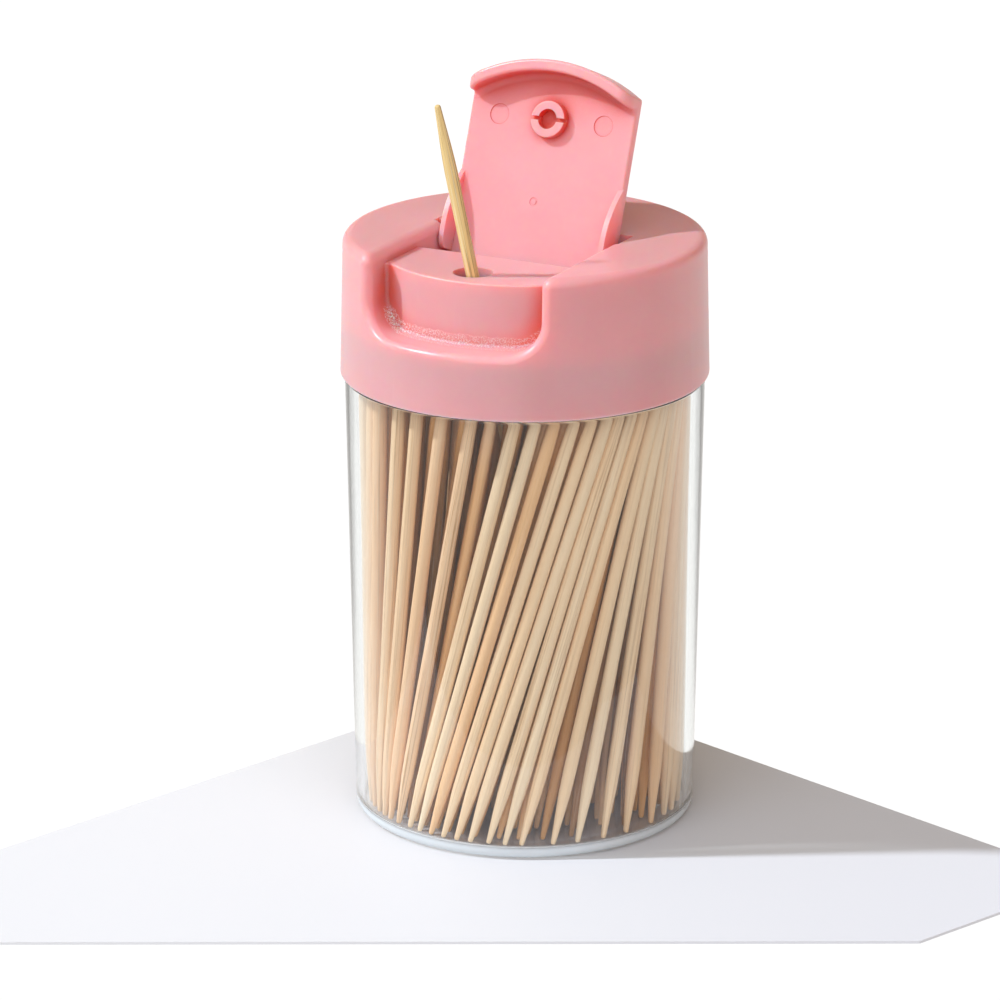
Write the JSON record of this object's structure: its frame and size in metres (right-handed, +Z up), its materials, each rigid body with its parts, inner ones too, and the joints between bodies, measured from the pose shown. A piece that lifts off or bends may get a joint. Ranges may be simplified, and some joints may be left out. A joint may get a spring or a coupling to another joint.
{
  "type": "toothpick dispenser",
  "caption": "Clear round jar of wooden toothpicks with a pink press-on lid, a recessed thumb notch and a hinged flap that covers a small dispensing hole.",
  "frame": {"origin": "centre of the jar's foot, on the surface it stands on", "axes": "+Z up along the jar's axis; -Y towards the thumb notch and dispensing hole; +X along the flap's hinge, to the right of someone facing the notch"},
  "size_m": [0.051, 0.051, 0.1055],
  "materials": {
    "clear_jar": "clear polystyrene, polished",
    "pink_lid": "satin polypropylene, slightly translucent",
    "pink_flap": "satin polypropylene, slightly translucent",
    "loose_wood": "bare bamboo, warm",
    "wood": "bare bamboo"
  },
  "bodies": {
    "jar": {"jar": "clear_jar", "toothpicks_outer_layer": "wood", "toothpicks_second_layer": "wood", "toothpicks_middle_layers": "wood", "toothpicks_core": "wood"},
    "lid": {"lid": "pink_lid"},
    "flap": {"flap": "pink_flap"},
    "loose_toothpick": {"loose_toothpick": "loose_wood"}
  },
  "joints": [
    {"name": "lid_lift", "type": "slide", "parent": "jar", "child": "lid", "axis": [0, 0, 1], "range_m": [0, 0.012]},
    {"name": "flap_hinge", "type": "hinge", "parent": "lid", "child": "flap", "pos_m": [0, 0.00175, 0.08115], "axis": [1, 0, 0], "range_deg": [0, 111]},
    {"name": "toothpick_slide", "type": "slide", "parent": "lid", "child": "loose_toothpick", "axis": [-0.1262, -0.1644, 0.9783], "range_m": [-0.0316, 0]}
  ],
  "couplings": [
    {"joint": "toothpick_slide", "follows": "flap_hinge", "m_per_rad": -0.0162}
  ]
}
